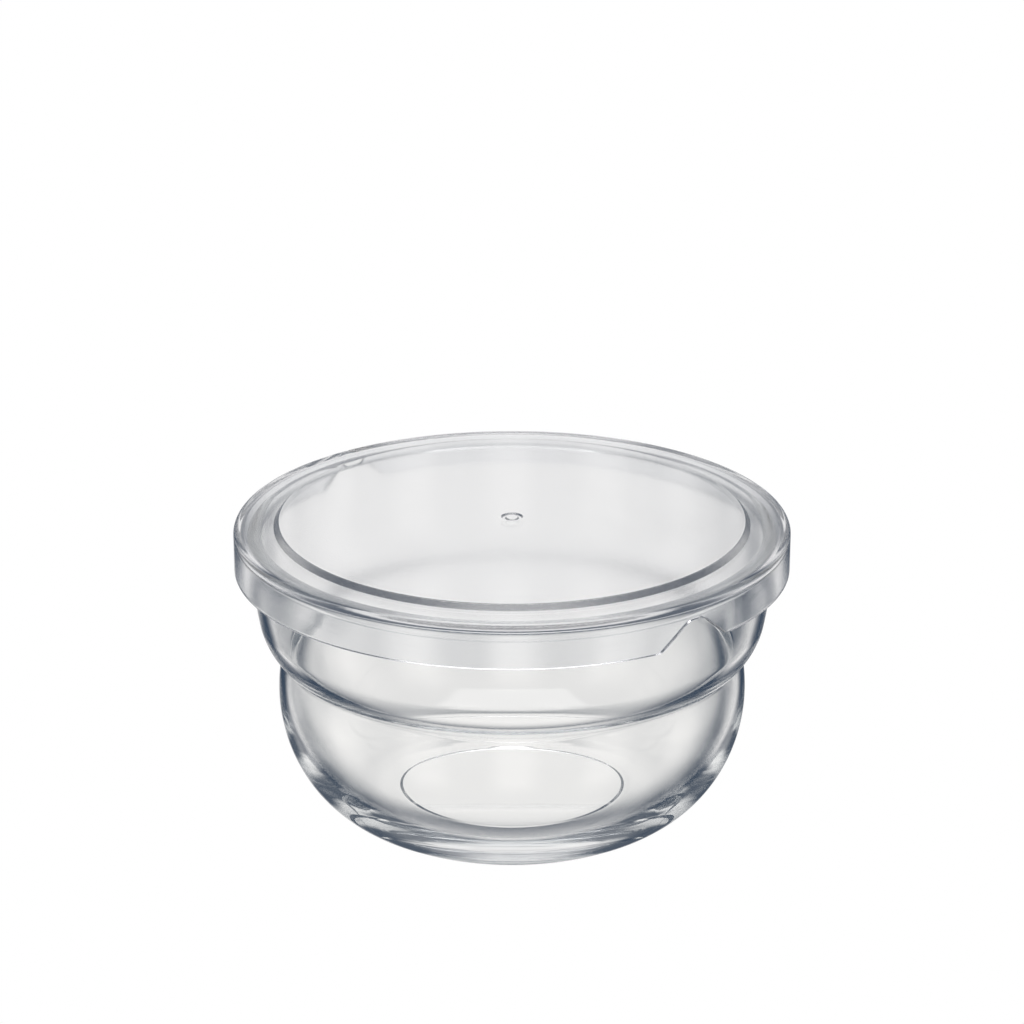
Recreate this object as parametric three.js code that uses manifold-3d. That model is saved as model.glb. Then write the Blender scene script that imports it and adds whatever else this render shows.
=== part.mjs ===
// Round glass storage bowl with a loose lid of clear plastic.
// Millimetres, +Z up. The origin is the centre of the bowl's foot, on the surface it stands on,
// and the front of the object faces -Y.
import * as THREE from 'three';
import { mergeVertices } from 'three/addons/utils/BufferGeometryUtils.js';
import Module from 'manifold-3d';

// Bowl
const BOWL_HEIGHT = 81.1; // foot to the top of the rim
const RIM_RADIUS = 71.4; // outside of the bead round the rim
const BEAD_OVERHANG = 1.2; // how far the bead stands out from the upper wall
const BEAD_RADIUS = 1.8; // roundness of the bead's outer side
const LIP_RADIUS = 1.6; // roundness of the rim's inner side
const BEAD_END = THREE.MathUtils.degToRad(-70); // where its round side ends, below the level
const BEAD_UNDERCUT = 0.6; // height of the slope from there back to the wall
const GLASS_WALL = 2.9;
const FLOOR_THICKNESS = 6.0;
const FOOT_RADIUS = 33.5; // outer edge of the flat ring that the bowl stands on
const FOOT_WIDTH = 1.8; // width of that ring
const PUSH_UP = 0.8; // hollow under the middle of the floor
const PUSH_UP_SLOPE = 0.8; // width of the slope into that hollow
const BELLY_SETBACK = 6.4; // the belly's widest radius is this much less than the upper wall's
const BELLY_HEIGHT = 36.4; // height of the belly's widest point
const WAIST_HEIGHT = 47.2; // the crease between the belly and the upper wall
const CREASE_ROUND = 0.3; // roundness at the bottom of the crease
const RIDGE_ROUND = 5.0; // roundness of the ridge behind the crease, inside the bowl
const SHOULDER_RADIUS = 17.0; // roundness of the upper wall's overhanging lower edge
const SHOULDER_SLOPE = THREE.MathUtils.degToRad(38); // the overhang's rise where it leaves the crease
const SHOULDER_ROOM = 0.95; // the most of the room below the upright stretch that its round may take
const STRAIGHT_TOP = 7.8; // upright stretch of the upper wall, including the rim

// Lid
const SEAT_GAP = 0.3; // between the rim and the underside of the lid
const SKIRT_GAP = 1.7; // between the rim's bead and the inside of the skirt
const SKIRT_THICKNESS = 1.9;
const SKIRT_DEPTH = 9.8; // from the lid's underside down to the skirt's lower edge
const SKIRT_EDGE_RADIUS = 0.5;
const INNER_CORNER_RADIUS = 1.2; // between the underside and the skirt
const OUTER_CORNER_RADIUS = 1.5; // between the ring and the skirt
const RING_THICKNESS = 2.0;
const RING_WIDTH = 10.8; // from the skirt's outside to the foot of the step
const STEP_HEIGHT = 1.4; // the centre panel stands this much above the ring
const STEP_WIDTH = 1.3; // run of the slope between them
const GATE_RADIUS = 3.0; // round mark in the middle of the lid
const GATE_DEPTH = 0.5;
const GATE_SLOPE = 0.4;

// Finger notches in the skirt's lower edge
const NOTCH_COUNT = 2;
const NOTCH_ANGLE = THREE.MathUtils.degToRad(39); // from the front towards +X
const NOTCH_HEIGHT = 7.0;
const NOTCH_MOUTH = 22.4; // width at the skirt's lower edge
const NOTCH_TOP = 4.8; // width at the top of the notch
const NOTCH_CORNER = 1.2; // roundness of its upper corners
const CUT_MARGIN = 2.0; // how far a cutter reaches past what it cuts

// Fineness of the faceted surfaces
const SEGMENTS = 60;
const BELLY_STEPS = 10;
const WALL_STEPS = 5;
const CORNER_STEPS = 4;
const TOUCH_TRIES = 40;

const RIGHT = 0;
const UP = Math.PI / 2;
const LEFT = Math.PI;
const DOWN = -Math.PI / 2;

const point = (radius, height) => new THREE.Vector2(radius, height);

// Points of an elliptical arc, both ends included.
function arc(centre, radiusAcross, radiusUp, from, to, steps) {
  const points = [];
  for (let i = 0; i <= steps; i += 1) {
    const angle = from + ((to - from) * i) / steps;
    points.push(point(centre.x + radiusAcross * Math.cos(angle), centre.y + radiusUp * Math.sin(angle)));
  }
  return points;
}

function round(centre, radius, from, to, steps) {
  return arc(centre, radius, radius, from, to, steps);
}

// Where a round touches both the belly's ellipse and the shoulder's circle from outside.
function nestle(belly, across, up, shoulder, shoulderRadius, radius) {
  let low = 0;
  let high = UP;
  const touch = { angle: 0, centre: belly, toBelly: 0, toShoulder: 0 };
  for (let i = 0; i < TOUCH_TRIES; i += 1) {
    touch.angle = (low + high) / 2;
    const cos = Math.cos(touch.angle);
    const sin = Math.sin(touch.angle);
    const normal = point(up * cos, across * sin).normalize();
    touch.centre = point(belly.x + across * cos + radius * normal.x, belly.y + up * sin + radius * normal.y);
    touch.toBelly = LEFT + normal.angle();
    if (touch.centre.distanceTo(shoulder) > shoulderRadius + radius) low = touch.angle;
    else high = touch.angle;
  }
  touch.toShoulder = Math.atan2(shoulder.y - touch.centre.y, shoulder.x - touch.centre.x);
  return touch;
}

// Turns a half outline (radius, height) about the Z axis.
function turn(outline) {
  const distinct = outline.filter((p, i) => i === 0 || p.distanceTo(outline[i - 1]) > 1e-4);
  const geometry = new THREE.LatheGeometry(distinct, SEGMENTS);
  geometry.rotateX(Math.PI / 2);
  return closed(geometry);
}

// Merges shared vertices, so that the surface is one closed skin.
function closed(geometry) {
  geometry.deleteAttribute('normal');
  geometry.deleteAttribute('uv');
  return mergeVertices(geometry, 1e-4);
}

// Sizes that the bowl and the lid share.
const wallRadius = RIM_RADIUS - BEAD_OVERHANG;
const wallTop = BOWL_HEIGHT - STRAIGHT_TOP;
const skirtInside = RIM_RADIUS + SKIRT_GAP;
const lidRadius = skirtInside + SKIRT_THICKNESS;
const underside = BOWL_HEIGHT + SEAT_GAP;
const skirtBottom = underside - SKIRT_DEPTH;

function bowlOutline() {
  const bellyCentre = point(FOOT_RADIUS, BELLY_HEIGHT);
  const bellyAcross = wallRadius - BELLY_SETBACK - FOOT_RADIUS;
  const creaseAngle = Math.asin((WAIST_HEIGHT - BELLY_HEIGHT) / BELLY_HEIGHT);
  const crease = point(bellyCentre.x + bellyAcross * Math.cos(creaseAngle), WAIST_HEIGHT);

  // The shoulder's circle leaves the crease at the overhang's slope, and the long arc of the upper
  // wall runs from that circle to the upright stretch below the rim, without a corner at either end.
  // The circle is limited by the room between the crease and that stretch.
  const sin = Math.sin(SHOULDER_SLOPE);
  const cos = Math.cos(SHOULDER_SLOPE);
  const setback = wallRadius - crease.x;
  const roomAcross = setback / (1 - sin);
  const roomUp = (wallTop - crease.y - setback) / (sin + cos - 1);
  const shoulderRadius = Math.min(SHOULDER_RADIUS, SHOULDER_ROOM * roomAcross, SHOULDER_ROOM * roomUp);
  const shoulder = point(crease.x - shoulderRadius * sin, crease.y + shoulderRadius * cos);
  const run = wallRadius - shoulder.x;
  const rise = wallTop - shoulder.y;
  const longRadius = (run ** 2 + rise ** 2 - shoulderRadius ** 2) / (2 * (run - shoulderRadius));
  const longCentre = point(wallRadius - longRadius, wallTop);
  const join = Math.atan2(shoulder.y - longCentre.y, shoulder.x - longCentre.x);

  // The groove outside and the ridge inside lie against the belly and the shoulder.
  const innerAcross = bellyAcross - GLASS_WALL;
  const innerUp = BELLY_HEIGHT - FLOOR_THICKNESS;
  const innerShoulder = shoulderRadius - GLASS_WALL;
  const groove = nestle(bellyCentre, bellyAcross, BELLY_HEIGHT, shoulder, shoulderRadius, CREASE_ROUND);
  const ridge = nestle(bellyCentre, innerAcross, innerUp, shoulder, innerShoulder, RIDGE_ROUND);

  const beadCentre = point(RIM_RADIUS - BEAD_RADIUS, BOWL_HEIGHT - BEAD_RADIUS);
  const lipCentre = point(wallRadius - GLASS_WALL + LIP_RADIUS, BOWL_HEIGHT - LIP_RADIUS);
  const neck = beadCentre.y + BEAD_RADIUS * Math.sin(BEAD_END) - BEAD_UNDERCUT;

  return [
    point(0, PUSH_UP),
    point(FOOT_RADIUS - FOOT_WIDTH - PUSH_UP_SLOPE, PUSH_UP),
    point(FOOT_RADIUS - FOOT_WIDTH, 0),
    ...arc(bellyCentre, bellyAcross, BELLY_HEIGHT, DOWN, groove.angle, BELLY_STEPS),
    ...round(groove.centre, CREASE_ROUND, groove.toBelly, groove.toShoulder, CORNER_STEPS),
    ...round(shoulder, shoulderRadius, groove.toShoulder - LEFT, join, WALL_STEPS),
    ...round(longCentre, longRadius, join, RIGHT, WALL_STEPS),
    point(wallRadius, neck),
    ...round(beadCentre, BEAD_RADIUS, BEAD_END, UP, CORNER_STEPS),
    ...round(lipCentre, LIP_RADIUS, UP, LEFT, CORNER_STEPS),
    ...round(longCentre, longRadius - GLASS_WALL, RIGHT, join, WALL_STEPS),
    ...round(shoulder, innerShoulder, join, ridge.toShoulder - LEFT, WALL_STEPS),
    ...round(ridge.centre, RIDGE_ROUND, ridge.toShoulder, ridge.toBelly, CORNER_STEPS),
    ...arc(bellyCentre, innerAcross, innerUp, ridge.angle, DOWN, BELLY_STEPS),
    point(0, FLOOR_THICKNESS),
  ];
}

function lidOutline() {
  const ringTop = underside + RING_THICKNESS;
  const panelTop = ringTop + STEP_HEIGHT;
  const stepFoot = lidRadius - RING_WIDTH;
  const innerCorner = point(skirtInside - INNER_CORNER_RADIUS, underside - INNER_CORNER_RADIUS);
  const outerCorner = point(lidRadius - OUTER_CORNER_RADIUS, ringTop - OUTER_CORNER_RADIUS);
  const edgeHeight = skirtBottom + SKIRT_EDGE_RADIUS;
  const innerEdge = point(skirtInside + SKIRT_EDGE_RADIUS, edgeHeight);
  const outerEdge = point(lidRadius - SKIRT_EDGE_RADIUS, edgeHeight);
  return [
    point(0, underside),
    ...round(innerCorner, INNER_CORNER_RADIUS, UP, RIGHT, CORNER_STEPS),
    ...round(innerEdge, SKIRT_EDGE_RADIUS, -LEFT, DOWN, CORNER_STEPS),
    ...round(outerEdge, SKIRT_EDGE_RADIUS, DOWN, RIGHT, CORNER_STEPS),
    ...round(outerCorner, OUTER_CORNER_RADIUS, RIGHT, UP, CORNER_STEPS),
    point(stepFoot, ringTop),
    point(stepFoot - STEP_WIDTH, panelTop),
    point(GATE_RADIUS, panelTop),
    point(GATE_RADIUS - GATE_SLOPE, panelTop - GATE_DEPTH),
    point(0, panelTop - GATE_DEPTH),
  ];
}

// A bar with the notch's outline, which reaches out through the skirt at the given angle.
function notchCutter(angle) {
  const half = NOTCH_MOUTH / 2;
  const topHalf = NOTCH_TOP / 2;
  const slope = (half - topHalf) / NOTCH_HEIGHT;
  const low = skirtBottom - CUT_MARGIN;
  const high = skirtBottom + NOTCH_HEIGHT;
  const outline = new THREE.Shape();
  outline.moveTo(half + slope * CUT_MARGIN, low);
  outline.lineTo(topHalf + slope * NOTCH_CORNER, high - NOTCH_CORNER);
  outline.quadraticCurveTo(topHalf, high, topHalf - NOTCH_CORNER, high);
  outline.lineTo(NOTCH_CORNER - topHalf, high);
  outline.quadraticCurveTo(-topHalf, high, -topHalf - slope * NOTCH_CORNER, high - NOTCH_CORNER);
  outline.lineTo(-half - slope * CUT_MARGIN, low);
  const depth = SKIRT_THICKNESS + SKIRT_GAP + 2 * CUT_MARGIN;
  const bar = new THREE.ExtrudeGeometry(outline, { depth, bevelEnabled: false, curveSegments: CORNER_STEPS });
  bar.rotateX(Math.PI / 2);
  bar.translate(0, depth - lidRadius - CUT_MARGIN, 0);
  bar.rotateZ(angle);
  return closed(bar);
}

const wasm = await Module();
wasm.setup();

function toSolid(geometry) {
  const { position } = geometry.attributes;
  return new wasm.Manifold(new wasm.Mesh({
    numProp: 3,
    vertProperties: Float32Array.from(position.array),
    triVerts: Uint32Array.from(geometry.index.array),
  }));
}

function toGeometry(solid) {
  const mesh = solid.getMesh();
  const geometry = new THREE.BufferGeometry();
  geometry.setAttribute('position', new THREE.BufferAttribute(mesh.vertProperties, 3));
  geometry.setIndex(new THREE.BufferAttribute(mesh.triVerts, 1));
  geometry.computeVertexNormals();
  return geometry;
}

function makeBowl() {
  const glass = new THREE.MeshStandardMaterial({ color: 0xe6efec, roughness: 0.03, metalness: 0 });
  const bowl = new THREE.Mesh(turn(bowlOutline()), glass);
  bowl.name = 'glass_bowl';
  return bowl;
}

function makeLid() {
  let solid = toSolid(turn(lidOutline()));
  for (let i = 0; i < NOTCH_COUNT; i += 1) {
    const angle = NOTCH_ANGLE + (i * 2 * Math.PI) / NOTCH_COUNT;
    solid = solid.subtract(toSolid(notchCutter(angle)));
  }
  const plastic = new THREE.MeshStandardMaterial({ color: 0xe4e9ee, roughness: 0.08, metalness: 0 });
  const lid = new THREE.Mesh(toGeometry(solid), plastic);
  lid.name = 'lid';
  return lid;
}

const group = new THREE.Group();
group.name = 'glass_storage_container';
group.add(makeBowl(), makeLid());

export default group;
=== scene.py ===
"""Round glass storage bowl with a loose lid of clear plastic. Metres, +Z up, front towards -Y."""
import math

import bmesh
import bpy
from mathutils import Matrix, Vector


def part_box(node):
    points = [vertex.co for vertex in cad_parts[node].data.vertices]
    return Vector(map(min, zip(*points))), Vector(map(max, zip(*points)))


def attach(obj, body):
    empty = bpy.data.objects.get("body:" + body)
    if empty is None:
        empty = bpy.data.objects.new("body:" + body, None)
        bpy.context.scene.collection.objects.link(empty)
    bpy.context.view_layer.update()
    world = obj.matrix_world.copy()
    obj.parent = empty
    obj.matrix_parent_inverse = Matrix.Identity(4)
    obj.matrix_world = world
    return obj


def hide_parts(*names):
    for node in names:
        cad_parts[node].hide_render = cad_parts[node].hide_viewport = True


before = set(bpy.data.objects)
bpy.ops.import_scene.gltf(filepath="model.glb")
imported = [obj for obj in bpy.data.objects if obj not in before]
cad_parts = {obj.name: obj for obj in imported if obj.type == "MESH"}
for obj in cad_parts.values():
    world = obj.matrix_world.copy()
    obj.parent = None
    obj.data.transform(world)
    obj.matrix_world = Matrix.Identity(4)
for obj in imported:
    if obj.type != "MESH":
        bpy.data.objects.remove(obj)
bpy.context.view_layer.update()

MM = 0.001
RIGHT = 0.0
UP = math.pi / 2
LEFT = math.pi
DOWN = -math.pi / 2
TURN = 2 * math.pi

# The outer sizes come from the frame.
bowl_low, bowl_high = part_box("glass_bowl")
lid_low, lid_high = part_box("lid")
RIM_RADIUS = bowl_high.x
RIM_TOP = bowl_high.z
LID_RADIUS = lid_high.x
LID_TOP = lid_high.z
SKIRT_BOTTOM = lid_low.z

# Bowl
BEAD_OVERHANG = 1.2 * MM
BEAD_RADIUS = 1.8 * MM
BEAD_END = math.radians(-70)
BEAD_UNDERCUT = 0.6 * MM
LIP_RADIUS = 1.6 * MM
GLASS_WALL = 2.9 * MM
FLOOR_THICKNESS = 6.0 * MM
FOOT_RADIUS = 33.5 * MM
FOOT_WIDTH = 1.8 * MM
PUSH_UP = 0.8 * MM
PUSH_UP_SLOPE = 0.8 * MM
BELLY_SETBACK = 6.4 * MM
BELLY_HEIGHT = 36.4 * MM
WAIST_HEIGHT = 47.2 * MM
CREASE_ROUND = 0.3 * MM
RIDGE_ROUND = 5.0 * MM
SHOULDER_RADIUS = 17.0 * MM
SHOULDER_SLOPE = math.radians(38)
STRAIGHT_TOP = 7.8 * MM

# Lid
UNDERSIDE = RIM_TOP + 0.3 * MM
SKIRT_THICKNESS = 1.9 * MM
SKIRT_EDGE_RADIUS = 0.5 * MM
INNER_CORNER_RADIUS = 1.2 * MM
OUTER_CORNER_RADIUS = 1.5 * MM
RING_THICKNESS = 2.0 * MM
RING_WIDTH = 10.8 * MM
STEP_WIDTH = 1.3 * MM
STEP_TOP_RADIUS = 0.8 * MM
GATE_RADIUS = 3.0 * MM
GATE_DEPTH = 0.5 * MM
GATE_SLOPE = 0.4 * MM
GATE_STUD_RADIUS = 1.5 * MM
GATE_STUD_HEIGHT = 0.3 * MM

# Finger notches in the skirt
NOTCH_COUNT = 2
NOTCH_ANGLE = math.radians(39) - UP
NOTCH_HEIGHT = 7.0 * MM
NOTCH_MOUTH = 22.4 * MM
NOTCH_TOP = 4.8 * MM
NOTCH_CORNER = 1.2 * MM
NOTCH_REACH = math.radians(12)

# Camera
AIM_HEIGHT = 71.6 * MM
CAMERA_DISTANCE = 0.95
CAMERA_ELEVATION = math.radians(21.375)
CAMERA_PITCH = math.radians(20.558)
SENSOR_WIDTH = 36
LENS = 123.31
CLIP_START = 0.05
CLIP_END = 50

# Studio. Each pair below is where a part fades in, as the height or side part of a direction.
SCREEN_SPACING = math.radians(45)
SCREEN_LEFT = math.radians(4)
SCREEN_FADE_LEFT = math.radians(15)
SCREEN_RIGHT = math.radians(2.5)
SCREEN_FADE_RIGHT = math.radians(12)
SCREEN_FOOT = (-0.66, -0.50)
SCREEN_HEAD = (0.75, 0.55)
TABLE_FADE = (-0.78, -0.93)
ROOM_FADE = (0.02, 0.25)
WINDOW_ACROSS = (0.40, 0.34)
WINDOW_ALONG = (0.26, 0.20)
WINDOW_ABOVE = (0.5, 0.6)
STUDIO_DARK = (0.042, 0.064, 0.10)
STUDIO_PALE = (0.93, 0.92, 0.915)
ROOM_LIGHT = 0.08
WINDOW_LIGHT = 2.0
FLOOR_SIZE = 6.0
FLOOR_GAP = 0.5 * MM
MOST_BOUNCES = 64

# Finish
GLASS_IOR = 1.48
GLASS_TINTS = ((0.985, 0.985, 0.98), (0.975, 0.98, 0.975))
GLASS_ROUGHNESS = (0.0, 0.02)
PLASTIC_IOR = 1.5
PLASTIC_TINTS = ((0.935, 0.945, 0.96), (0.945, 0.95, 0.96))
PLASTIC_ROUGHNESS = (0.09, 0.12)
SMEAR_FADE = (0.5, 0.75)
DUST_FADE = (0.12, 0.04)
DUST_SHARE = 0.6
TINT_SCALE = 12.0
GLASS_WAVE_HEIGHT = 0.03 * MM
GLASS_DEPTH_COLOUR = (0.84, 0.87, 0.88, 1)
GLASS_DENSITY = 4.0
PLASTIC_WAVE_HEIGHT = 0.01 * MM

# Fineness
TURN_STEP = math.radians(2)
NOTCH_STEP = math.radians(0.4)
BELLY_STEPS = 40
WALL_STEPS = 12
SHOULDER_STEPS = 14
CORNER_STEPS = 8
WELD = 0.002 * MM
SUPPORT = 0.25 * MM
SMOOTH_ANGLE = math.radians(28)


def point(radius, height):
    return Vector((radius, height))


def arc(centre, across, up, start, end, steps):
    """Points of an elliptical arc, both ends included."""
    points = []
    for i in range(steps + 1):
        angle = start + (end - start) * i / steps
        points.append(centre + point(across * math.cos(angle), up * math.sin(angle)))
    return points


def rounded(centre, radius, start, end, steps=CORNER_STEPS):
    return arc(centre, radius, radius, start, end, steps)


def flat(start, end):
    """A straight stretch, with a point close to each end that keeps its shading flat."""
    along = (end - start).normalized() * SUPPORT
    return [start, start + along, end - along, end]


def nestle(belly, across, up, shoulder, shoulder_radius, radius):
    """Where a round touches both the belly's ellipse and the shoulder's circle from outside.

    Gives its centre, the ellipse's angle where they touch, and the directions of both touches."""
    low = 0.0
    high = UP
    for _ in range(40):
        angle = (low + high) / 2
        edge = belly + point(across * math.cos(angle), up * math.sin(angle))
        normal = point(up * math.cos(angle), across * math.sin(angle)).normalized()
        centre = edge + radius * normal
        if (centre - shoulder).length > shoulder_radius + radius:
            low = angle
        else:
            high = angle
    to_belly = math.atan2(-normal.y, -normal.x) + TURN
    to_shoulder = math.atan2(shoulder.y - centre.y, shoulder.x - centre.x)
    return centre, angle, to_belly, to_shoulder


def bowl_outline():
    wall_radius = RIM_RADIUS - BEAD_OVERHANG
    wall_top = RIM_TOP - STRAIGHT_TOP
    belly = point(FOOT_RADIUS, BELLY_HEIGHT)
    across = wall_radius - BELLY_SETBACK - FOOT_RADIUS
    inner_across = across - GLASS_WALL
    inner_up = BELLY_HEIGHT - FLOOR_THICKNESS
    crease_angle = math.asin((WAIST_HEIGHT - BELLY_HEIGHT) / BELLY_HEIGHT)
    crease = point(belly.x + across * math.cos(crease_angle), WAIST_HEIGHT)
    inward = UP + SHOULDER_SLOPE
    shoulder = crease + SHOULDER_RADIUS * point(math.cos(inward), math.sin(inward))
    inner_shoulder = SHOULDER_RADIUS - GLASS_WALL
    run = wall_radius - shoulder.x
    rise = wall_top - shoulder.y
    long_radius = (run**2 + rise**2 - SHOULDER_RADIUS**2) / (2 * (run - SHOULDER_RADIUS))
    long_centre = point(wall_radius - long_radius, wall_top)
    join = math.atan2(shoulder.y - long_centre.y, shoulder.x - long_centre.x)
    groove, belly_end, groove_start, groove_end = nestle(
        belly, across, BELLY_HEIGHT, shoulder, SHOULDER_RADIUS, CREASE_ROUND)
    ridge, inner_start, ridge_end, ridge_start = nestle(
        belly, inner_across, inner_up, shoulder, inner_shoulder, RIDGE_ROUND)
    bead = point(RIM_RADIUS - BEAD_RADIUS, RIM_TOP - BEAD_RADIUS)
    lip = point(wall_radius - GLASS_WALL + LIP_RADIUS, RIM_TOP - LIP_RADIUS)
    neck = bead.y + BEAD_RADIUS * math.sin(BEAD_END) - BEAD_UNDERCUT
    foot_inside = FOOT_RADIUS - FOOT_WIDTH
    return [
        *flat(point(0, PUSH_UP), point(foot_inside - PUSH_UP_SLOPE, PUSH_UP)),
        *flat(point(foot_inside, 0), point(FOOT_RADIUS - SUPPORT, 0)),
        *arc(belly, across, BELLY_HEIGHT, DOWN, belly_end, BELLY_STEPS),
        *rounded(groove, CREASE_ROUND, groove_start, groove_end),
        *rounded(shoulder, SHOULDER_RADIUS, groove_end - LEFT, join, SHOULDER_STEPS),
        *rounded(long_centre, long_radius, join, RIGHT, WALL_STEPS),
        point(wall_radius, neck),
        *rounded(bead, BEAD_RADIUS, BEAD_END, UP),
        *rounded(lip, LIP_RADIUS, UP, LEFT),
        *rounded(long_centre, long_radius - GLASS_WALL, RIGHT, join, WALL_STEPS),
        *rounded(shoulder, inner_shoulder, join, ridge_start - LEFT, SHOULDER_STEPS),
        *rounded(ridge, RIDGE_ROUND, ridge_start, ridge_end, SHOULDER_STEPS),
        *arc(belly, inner_across, inner_up, inner_start, DOWN, BELLY_STEPS),
        point(0, FLOOR_THICKNESS),
    ]


def lid_outline():
    ring_top = UNDERSIDE + RING_THICKNESS
    skirt_inside = LID_RADIUS - SKIRT_THICKNESS
    step_foot = point(LID_RADIUS - RING_WIDTH, ring_top)
    step_slope = math.atan2(LID_TOP - ring_top, STEP_WIDTH)
    step_top = point(step_foot.x - STEP_WIDTH, LID_TOP)
    cut_back = STEP_TOP_RADIUS * math.tan(step_slope / 2)
    step_round = step_top - point(cut_back, STEP_TOP_RADIUS)
    inner_corner = point(skirt_inside, UNDERSIDE) - point(INNER_CORNER_RADIUS, INNER_CORNER_RADIUS)
    outer_corner = point(LID_RADIUS, ring_top) - point(OUTER_CORNER_RADIUS, OUTER_CORNER_RADIUS)
    edge_height = SKIRT_BOTTOM + SKIRT_EDGE_RADIUS
    inner_edge = point(skirt_inside + SKIRT_EDGE_RADIUS, edge_height)
    outer_edge = point(LID_RADIUS - SKIRT_EDGE_RADIUS, edge_height)
    gate_floor = LID_TOP - GATE_DEPTH
    stud_top = gate_floor + GATE_STUD_HEIGHT
    return [
        *flat(point(0, UNDERSIDE), point(inner_corner.x - SUPPORT, UNDERSIDE)),
        *rounded(inner_corner, INNER_CORNER_RADIUS, UP, RIGHT),
        *rounded(inner_edge, SKIRT_EDGE_RADIUS, -LEFT, DOWN),
        *rounded(outer_edge, SKIRT_EDGE_RADIUS, DOWN, RIGHT),
        *rounded(outer_corner, OUTER_CORNER_RADIUS, RIGHT, UP),
        *flat(point(outer_corner.x - SUPPORT, ring_top), step_foot),
        *rounded(step_round, STEP_TOP_RADIUS, UP - step_slope, UP),
        *flat(step_round + point(-SUPPORT, STEP_TOP_RADIUS), point(GATE_RADIUS, LID_TOP)),
        *flat(
            point(GATE_RADIUS - GATE_SLOPE, gate_floor), point(GATE_STUD_RADIUS + GATE_SLOPE, gate_floor)),
        *flat(point(GATE_STUD_RADIUS, stud_top), point(0, stud_top)),
    ]


def clear_selection():
    bpy.ops.object.select_all(action="DESELECT")


def draw_outline(name, outline):
    """Starts from a plane shrunk to one point and extrudes that point along a half outline."""
    clear_selection()
    first = outline[0]
    bpy.ops.mesh.primitive_plane_add(size=SUPPORT, location=(first.x, 0, first.y))
    piece = bpy.context.object
    piece.name = name
    piece.data.name = name
    bpy.ops.object.transform_apply(location=True, rotation=False, scale=False)
    bpy.ops.object.mode_set(mode="EDIT")
    bpy.ops.mesh.select_all(action="SELECT")
    bpy.ops.mesh.merge(type="CENTER")
    last = first
    for corner in outline[1:]:
        step = corner - last
        if step.length > WELD:
            move = {"value": (step.x, 0, step.y)}
            bpy.ops.mesh.extrude_region_move(TRANSFORM_OT_translate=move)
            last = corner
    bpy.ops.mesh.select_all(action="SELECT")
    return piece


def spin_outline(stretches):
    """Spins the selected outline about Z, one stretch after another: its angle and step for each."""
    for angle, step in stretches:
        bpy.ops.mesh.spin(steps=round(angle / step), angle=-angle, center=(0, 0, 0), axis=(0, 0, 1))
    bpy.ops.mesh.select_all(action="SELECT")
    bpy.ops.mesh.remove_doubles(threshold=WELD)
    bpy.ops.mesh.select_all(action="SELECT")
    bpy.ops.mesh.normals_make_consistent(inside=False)


def notch_angles():
    return [(NOTCH_ANGLE + TURN * i / NOTCH_COUNT) % TURN for i in range(NOTCH_COUNT)]


def notch_stretches():
    """The lid's full turn, in fine steps across each notch and plain steps between them."""
    stretches = []
    reached = 0.0
    for centre in sorted(notch_angles()):
        stretches.append((centre - NOTCH_REACH - reached, TURN_STEP))
        stretches.append((2 * NOTCH_REACH, NOTCH_STEP))
        reached = centre + NOTCH_REACH
    stretches.append((TURN - reached, TURN_STEP))
    return stretches


def soft_ramp(value, radius):
    """Zero below zero and the value above it, with the bend rounded over a radius either side."""
    if value <= -radius:
        return 0.0
    if value >= radius:
        return value
    return (value + radius) ** 2 / (4 * radius)


def notch_lift(offset):
    """How far the skirt's edge rises at a distance along the skirt from a notch's middle."""
    slope = 2 * NOTCH_HEIGHT / (NOTCH_MOUTH - NOTCH_TOP)
    inside = NOTCH_MOUTH / 2 - abs(offset)
    over = inside - (NOTCH_MOUTH - NOTCH_TOP) / 2
    return slope * (soft_ramp(inside, NOTCH_CORNER) - soft_ramp(over, NOTCH_CORNER))


def raise_notches():
    """Lifts the skirt's lower edge, one upright row of points after another, into the notches."""
    edit = bmesh.from_edit_mesh(bpy.context.object.data)
    edge_top = SKIRT_BOTTOM + SKIRT_EDGE_RADIUS + WELD
    rows = {}
    for vertex in edit.verts:
        place = vertex.co
        if place.z < edge_top and place.xy.length > LID_RADIUS - RING_WIDTH:
            angle = math.atan2(place.y, place.x)
            for centre in notch_angles():
                turn = (angle - centre + math.pi) % TURN - math.pi
                if abs(turn) < NOTCH_REACH:
                    rows.setdefault(round(LID_RADIUS * turn / WELD), []).append(vertex)
    for row, vertices in rows.items():
        lift = notch_lift(row * WELD)
        if lift > WELD:
            bpy.ops.mesh.select_all(action="DESELECT")
            for vertex in vertices:
                vertex.select_set(True)
            bpy.ops.transform.translate(value=(0, 0, lift))


def make_bowl():
    bowl = draw_outline("bowl_glass", bowl_outline())
    spin_outline([(TURN, TURN_STEP)])
    bpy.ops.object.mode_set(mode="OBJECT")
    bpy.ops.object.shade_smooth_by_angle(angle=SMOOTH_ANGLE)
    return bowl


def make_lid():
    lid = draw_outline("lid_plastic", lid_outline())
    spin_outline(notch_stretches())
    raise_notches()
    bpy.ops.object.mode_set(mode="OBJECT")
    bpy.ops.object.shade_smooth_by_angle(angle=SMOOTH_ANGLE)
    return lid


def add_node(tree, kind, inputs=None, **settings):
    """Adds a node with its settings; an input is a number, a colour or another node's output."""
    node = tree.nodes.new("ShaderNode" + kind)
    for name, value in settings.items():
        setattr(node, name, value)
    for name, value in (inputs or {}).items():
        if isinstance(value, bpy.types.NodeSocket):
            tree.links.new(value, node.inputs[name])
        else:
            node.inputs[name].default_value = value
    return node


def calculate(tree, operation, *values):
    return add_node(tree, "Math", dict(enumerate(values)), operation=operation).outputs[0]


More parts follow.
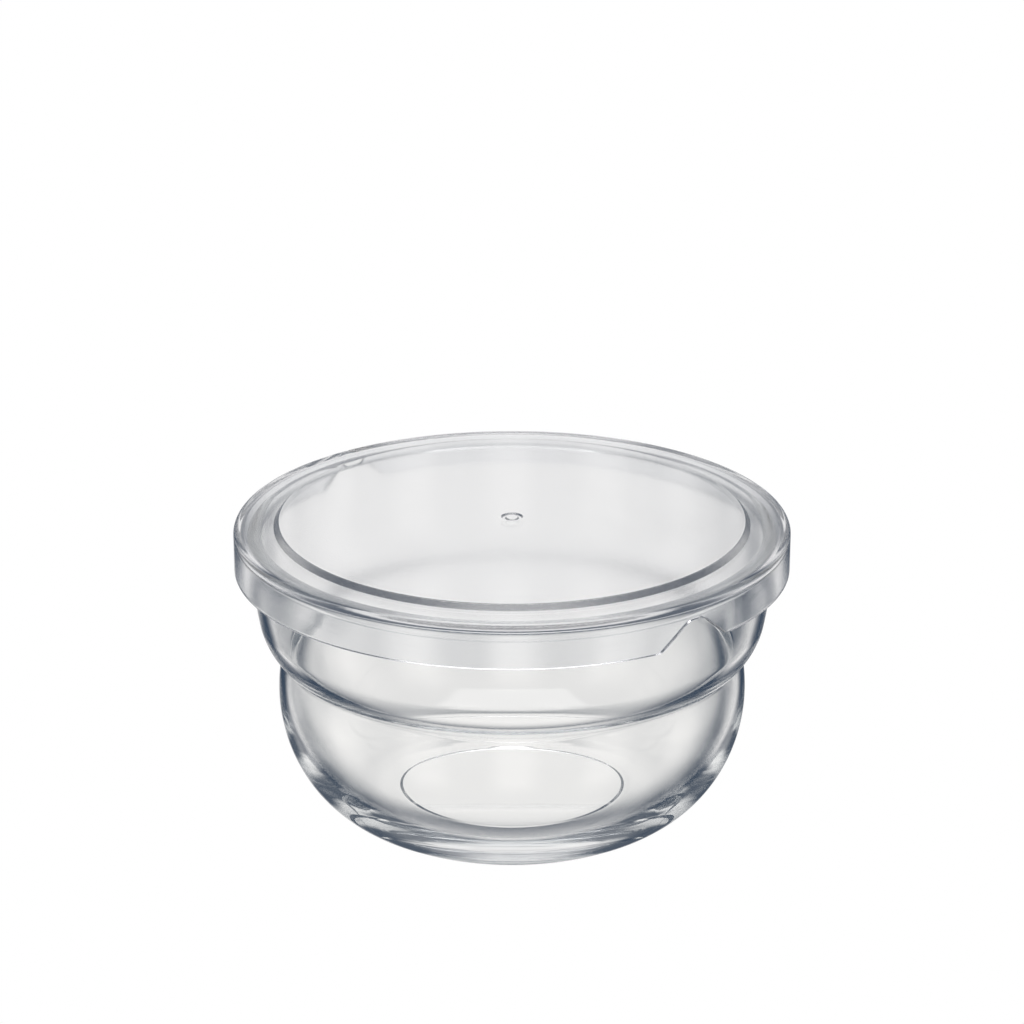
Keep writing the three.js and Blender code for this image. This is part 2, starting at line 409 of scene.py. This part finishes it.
def map_range(tree, value, start, end, low=0.0, high=1.0):
    """A smooth step of a value, from low at start to high at end."""
    numbers = {"Value": value, "From Min": start, "From Max": end, "To Min": low, "To Max": high}
    return add_node(tree, "MapRange", numbers, interpolation_type="SMOOTHSTEP").outputs["Result"]


def blend_colours(tree, factor, first, second):
    mix = add_node(tree, "Mix", data_type="RGBA")
    tree.links.new(factor, mix.inputs["Factor"])
    mix.inputs["A"].default_value = (*first, 1)
    mix.inputs["B"].default_value = (*second, 1)
    return mix.outputs["Result"]


def new_group(name, inputs, outputs):
    """An empty shader node group with named inputs (kind and value) and outputs."""
    group = bpy.data.node_groups.new(name, "ShaderNodeTree")
    for title, (kind, value) in inputs.items():
        socket = group.interface.new_socket(title, in_out="INPUT", socket_type=kind)
        if value is not None:
            socket.default_value = value
    for title in outputs:
        group.interface.new_socket(title, in_out="OUTPUT", socket_type="NodeSocketFloat")
    return group, group.nodes.new("NodeGroupInput"), group.nodes.new("NodeGroupOutput")


def make_waviness_group():
    """The slow waves and fine ripples that a mould leaves in a clear wall, as a height from 0 to 1."""
    group, given, result = new_group("mould_waviness", {
        "Vector": ("NodeSocketVector", None),
        "Wave Scale": ("NodeSocketFloat", 40.0),
        "Ripple Scale": ("NodeSocketFloat", 300.0),
        "Ripple Share": ("NodeSocketFloat", 0.1),
    }, ["Height"])
    where = given.outputs["Vector"]
    wave_numbers = {"Vector": where, "Scale": given.outputs["Wave Scale"], "Detail": 1.0}
    ripple_numbers = {"Vector": where, "Scale": given.outputs["Ripple Scale"], "Detail": 2.0}
    waves = add_node(group, "TexNoise", wave_numbers)
    ripples = add_node(group, "TexNoise", ripple_numbers)
    share = given.outputs["Ripple Share"]
    fine = calculate(group, "MULTIPLY", ripples.outputs["Fac"], share)
    group.links.new(calculate(group, "ADD", waves.outputs["Fac"], fine), result.inputs["Height"])
    return group


def make_marks_group():
    """Faint wiped smears and dust from handling, as a mask from 0 to 1."""
    group, given, result = new_group("handling_marks", {
        "Vector": ("NodeSocketVector", None),
        "Smear Scale": ("NodeSocketFloat", 25.0),
        "Dust Scale": ("NodeSocketFloat", 900.0),
    }, ["Mask"])
    where = given.outputs["Vector"]
    stretched = add_node(group, "Mapping", {"Vector": where, "Scale": (1.0, 0.35, 1.0)}).outputs["Vector"]
    smear_scale = given.outputs["Smear Scale"]
    smear_numbers = {"Vector": stretched, "Scale": smear_scale, "Detail": 5.0, "Distortion": 0.6}
    smears = add_node(group, "TexNoise", smear_numbers).outputs["Fac"]
    dust_numbers = {"Vector": where, "Scale": given.outputs["Dust Scale"]}
    dust = add_node(group, "TexVoronoi", dust_numbers).outputs["Distance"]
    smear_mask = map_range(group, smears, *SMEAR_FADE)
    dust_mask = map_range(group, dust, *DUST_FADE, 0.0, DUST_SHARE)
    group.links.new(calculate(group, "MAXIMUM", smear_mask, dust_mask), result.inputs["Mask"])
    return group


def place_group(tree, group, inputs):
    node = tree.nodes.new("ShaderNodeGroup")
    node.node_tree = group
    for name, value in inputs.items():
        if isinstance(value, bpy.types.NodeSocket):
            tree.links.new(value, node.inputs[name])
        else:
            node.inputs[name].default_value = value
    return node.outputs[0]


def clear_material(name, ior, tints, roughness, waves, wave_height, marks):
    """A see-through material: tinted a little unevenly, wavy, and duller where it is handled."""
    material = bpy.data.materials.new(name)
    material.use_nodes = True
    tree = material.node_tree
    shader = tree.nodes["Principled BSDF"]
    where = add_node(tree, "TexCoord").outputs["Object"]
    tint_noise = add_node(tree, "TexNoise", {"Vector": where, "Scale": TINT_SCALE}).outputs["Fac"]
    tree.links.new(blend_colours(tree, tint_noise, *tints), shader.inputs["Base Color"])
    mask = place_group(tree, handling_marks, {"Vector": where, **marks})
    tree.links.new(map_range(tree, mask, 0.0, 1.0, *roughness), shader.inputs["Roughness"])
    height = place_group(tree, mould_waviness, {"Vector": where, **waves})
    bump = add_node(tree, "Bump", {"Height": height, "Distance": wave_height, "Strength": 1.0})
    tree.links.new(bump.outputs["Normal"], shader.inputs["Normal"])
    shader.inputs["IOR"].default_value = ior
    shader.inputs["Transmission Weight"].default_value = 1.0
    return material


def make_bowl_glass():
    waves = {"Wave Scale": 45.0, "Ripple Scale": 260.0, "Ripple Share": 0.02}
    marks = {"Smear Scale": 22.0, "Dust Scale": 700.0}
    glass = clear_material(
        "bowl_clear_glass", GLASS_IOR, GLASS_TINTS, GLASS_ROUGHNESS, waves, GLASS_WAVE_HEIGHT, marks)
    tree = glass.node_tree
    depth = add_node(tree, "VolumeAbsorption", {"Color": GLASS_DEPTH_COLOUR, "Density": GLASS_DENSITY})
    tree.links.new(depth.outputs["Volume"], tree.nodes["Material Output"].inputs["Volume"])
    return glass


def make_lid_plastic():
    waves = {"Wave Scale": 60.0, "Ripple Scale": 500.0, "Ripple Share": 0.05}
    marks = {"Smear Scale": 30.0, "Dust Scale": 1100.0}
    return clear_material(
        "lid_clear_plastic", PLASTIC_IOR, PLASTIC_TINTS, PLASTIC_ROUGHNESS, waves, PLASTIC_WAVE_HEIGHT, marks)


def make_floor():
    """A plain white floor that only the camera sees: the glass shows the studio, not the floor."""
    clear_selection()
    bpy.ops.mesh.primitive_plane_add(size=FLOOR_SIZE, location=(0, 0, -FLOOR_GAP))
    floor = bpy.context.object
    floor.name = "studio_floor"
    bpy.ops.object.transform_apply(location=True, rotation=False, scale=False)
    floor.visible_diffuse = False
    floor.visible_glossy = False
    floor.visible_transmission = False
    floor.visible_volume_scatter = False
    floor.visible_shadow = False
    material = bpy.data.materials.new("studio_floor_white")
    material.use_nodes = True
    shader = material.node_tree.nodes["Principled BSDF"]
    shader.inputs["Base Color"].default_value = (0, 0, 0, 1)
    shader.inputs["Specular IOR Level"].default_value = 0.0
    shader.inputs["Emission Color"].default_value = (1, 1, 1, 1)
    shader.inputs["Emission Strength"].default_value = 1.0
    floor.data.materials.append(material)


def make_camera():
    aim = Vector((0, 0, AIM_HEIGHT))
    back = Vector((0, -math.cos(CAMERA_ELEVATION), math.sin(CAMERA_ELEVATION)))
    camera = bpy.data.objects.new("camera", bpy.data.cameras.new("camera"))
    bpy.context.scene.collection.objects.link(camera)
    camera.location = aim + CAMERA_DISTANCE * back
    camera.rotation_euler = (UP - CAMERA_PITCH, 0, 0)
    camera.data.sensor_width = SENSOR_WIDTH
    camera.data.lens = LENS
    camera.data.clip_start = CLIP_START
    camera.data.clip_end = CLIP_END
    bpy.context.scene.camera = camera


def studio_light(tree, direction):
    """How pale the studio is in a direction, from 0 to 1.

    Eight upright pale screens stand round the object with dark gaps between them. The table far
    below the line of sight is pale, and the room above is dark. Seen against a screen the glass
    is pale, and seen against a gap it is dark."""
    x, y, z = add_node(tree, "SeparateXYZ", {"Vector": direction}).outputs
    azimuth = calculate(tree, "ARCTAN2", x, y)
    turn = calculate(tree, "WRAP", azimuth, SCREEN_SPACING / 2, -SCREEN_SPACING / 2)
    from_left = map_range(tree, turn, -SCREEN_LEFT - SCREEN_FADE_LEFT, -SCREEN_LEFT)
    from_right = map_range(tree, turn, SCREEN_RIGHT + SCREEN_FADE_RIGHT, SCREEN_RIGHT)
    across = calculate(tree, "MULTIPLY", from_left, from_right)
    above = map_range(tree, z, *SCREEN_FOOT)
    below = map_range(tree, z, *SCREEN_HEAD)
    screens = calculate(tree, "MULTIPLY", across, calculate(tree, "MULTIPLY", above, below))
    table = map_range(tree, z, *TABLE_FADE)
    room = map_range(tree, z, *ROOM_FADE, 0.0, ROOM_LIGHT)
    low = calculate(tree, "MAXIMUM", screens, table)
    return calculate(tree, "MAXIMUM", low, room)


def ceiling_window(tree, direction):
    """A mask of a bright oblong overhead."""
    x, y, z = add_node(tree, "SeparateXYZ", {"Vector": direction}).outputs
    across = map_range(tree, calculate(tree, "ABSOLUTE", x), *WINDOW_ACROSS)
    along = map_range(tree, calculate(tree, "ABSOLUTE", y), *WINDOW_ALONG)
    above = map_range(tree, z, *WINDOW_ABOVE)
    return calculate(tree, "MULTIPLY", calculate(tree, "MULTIPLY", across, along), above)


def make_world():
    """Plain white for the camera itself; the studio for everything seen through or in the glass."""
    world = bpy.data.worlds.new("studio")
    bpy.context.scene.world = world
    world.use_nodes = True
    tree = world.node_tree
    background = tree.nodes["Background"]
    where = add_node(tree, "TexCoord").outputs["Generated"]
    window = ceiling_window(tree, where)
    pale = calculate(tree, "MAXIMUM", studio_light(tree, where), window)
    tone = blend_colours(tree, pale, STUDIO_DARK, STUDIO_PALE)
    seen = add_node(tree, "LightPath").outputs["Is Camera Ray"]
    mix = add_node(tree, "Mix", data_type="RGBA")
    tree.links.new(seen, mix.inputs["Factor"])
    tree.links.new(tone, mix.inputs["A"])
    mix.inputs["B"].default_value = (1, 1, 1, 1)
    tree.links.new(mix.outputs["Result"], background.inputs["Color"])
    unseen = calculate(tree, "SUBTRACT", 1.0, seen)
    extra = calculate(tree, "MULTIPLY", calculate(tree, "MULTIPLY", window, WINDOW_LIGHT), unseen)
    tree.links.new(calculate(tree, "ADD", extra, 1.0), background.inputs["Strength"])


make_camera()
make_world()
make_floor()
mould_waviness = make_waviness_group()
handling_marks = make_marks_group()
for piece, material, body, node, slot in (
    (make_bowl(), make_bowl_glass(), "bowl", "glass_bowl", "clear_glass"),
    (make_lid(), make_lid_plastic(), "lid", "lid", "clear_plastic"),
):
    piece.data.materials.clear()
    piece.data.materials.append(material)
    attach(piece, body)
    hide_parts(node)

scene = bpy.context.scene
scene.view_settings.view_transform = "Standard"
scene.cycles.max_bounces = MOST_BOUNCES
scene.cycles.transmission_bounces = MOST_BOUNCES
scene.cycles.glossy_bounces = MOST_BOUNCES

clear_selection()
